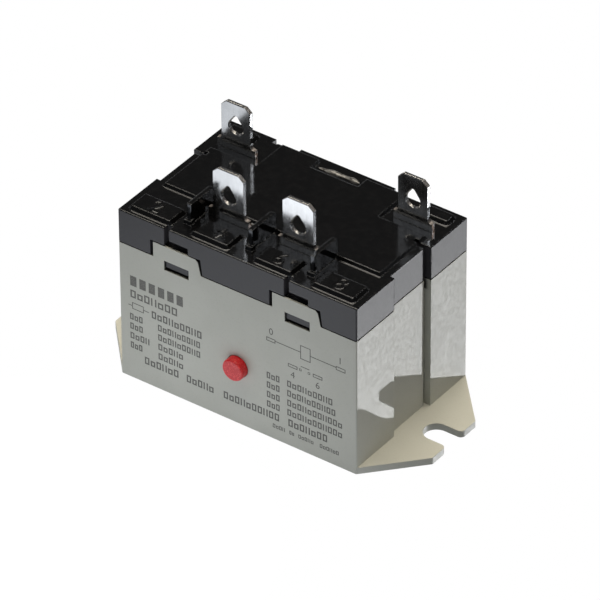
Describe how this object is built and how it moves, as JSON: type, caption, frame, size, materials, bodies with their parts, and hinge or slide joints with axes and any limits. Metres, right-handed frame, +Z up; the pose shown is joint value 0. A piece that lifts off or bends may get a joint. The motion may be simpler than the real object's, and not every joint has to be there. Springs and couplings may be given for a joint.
{
  "type": "flange-mounted power relay",
  "caption": "Box-shaped power relay with two slotted mounting ears, four push-on tabs on top and a push button that works its contacts by hand.",
  "frame": {"origin": "centre of the underside of the case and ears, the face it is screwed down on", "axes": "+X along the long side from ear to ear, -Y out of the front with the button, +Z up through the tabs"},
  "size_m": [0.0676, 0.0341, 0.0452],
  "materials": {
    "case_plastic": "fine satin moulding",
    "base_plastic": "glossy top, matt skirt",
    "tin_plate": "bright tin plate over brass",
    "button_plastic": "satin red",
    "seal_resin": "glossy resin",
    "silver_contact": "silver alloy, slightly dull",
    "bridge_copper": "rolled copper alloy",
    "slider_plastic": "natural white",
    "partition_plastic": "dull black",
    "bobbin_plastic": "glass-filled natural",
    "winding_wire": "enamelled copper wire",
    "coil_tape": "polyester tape",
    "magnet_steel": "zinc-plated soft iron",
    "spring_steel": "drawn wire",
    "ring_copper": "bare copper",
    "lead_insulation": "white sleeve",
    "solder": "soft solder"
  },
  "bodies": {
    "housing": {"base": "base_plastic", "bobbin": "bobbin_plastic", "case": "case_plastic", "coil_lead_0": "lead_insulation", "coil_lead_1": "lead_insulation", "coil_tape": "coil_tape", "coil_terminal_0": "tin_plate", "coil_terminal_1": "tin_plate", "coil_winding": "winding_wire", "contact_terminal_4": "tin_plate", "contact_terminal_6": "tin_plate", "core": "magnet_steel", "fixed_contact_4": "silver_contact", "fixed_contact_6": "silver_contact", "hinge_spring": "spring_steel", "partition": "partition_plastic", "return_spring": "spring_steel", "shading_ring": "ring_copper", "solder_joints": "solder", "vent_seal": "seal_resin", "yoke": "magnet_steel"},
    "button": {"test_button": "button_plastic"},
    "carrier": {"contact_carrier": "slider_plastic", "contact_spring": "spring_steel"},
    "bridge": {"contact_bridge": "bridge_copper", "bridge_contacts": "silver_contact"},
    "armature": {"armature": "magnet_steel", "actuator_card": "slider_plastic"}
  },
  "joints": [
    {"name": "test_button_slide", "type": "slide", "parent": "housing", "child": "button", "axis": [0, 1, 0], "range_m": [0, 0.0015], "stiffness_N_per_m": 400, "springref_m": -0.002},
    {"name": "carrier_slide", "type": "slide", "parent": "housing", "child": "carrier", "axis": [0, 1, 0], "range_m": [0, 0.0015], "deforming": ["return_spring"]},
    {"name": "bridge_overtravel", "type": "slide", "parent": "carrier", "child": "bridge", "axis": [0, -1, 0], "range_m": [0, 0.0003], "deforming": ["contact_spring"]},
    {"name": "armature_pivot", "type": "hinge", "parent": "housing", "child": "armature", "pos_m": [0, 0.0124, 0.02688], "axis": [1, 0, 0], "range_deg": [0, 5.5]}
  ],
  "couplings": [
    {"joint": "carrier_slide", "follows": "test_button_slide", "ratio": 1},
    {"joint": "bridge_overtravel", "follows": "test_button_slide", "ratio": 0.2},
    {"joint": "armature_pivot", "follows": "test_button_slide", "rad_per_m": 63.99}
  ]
}
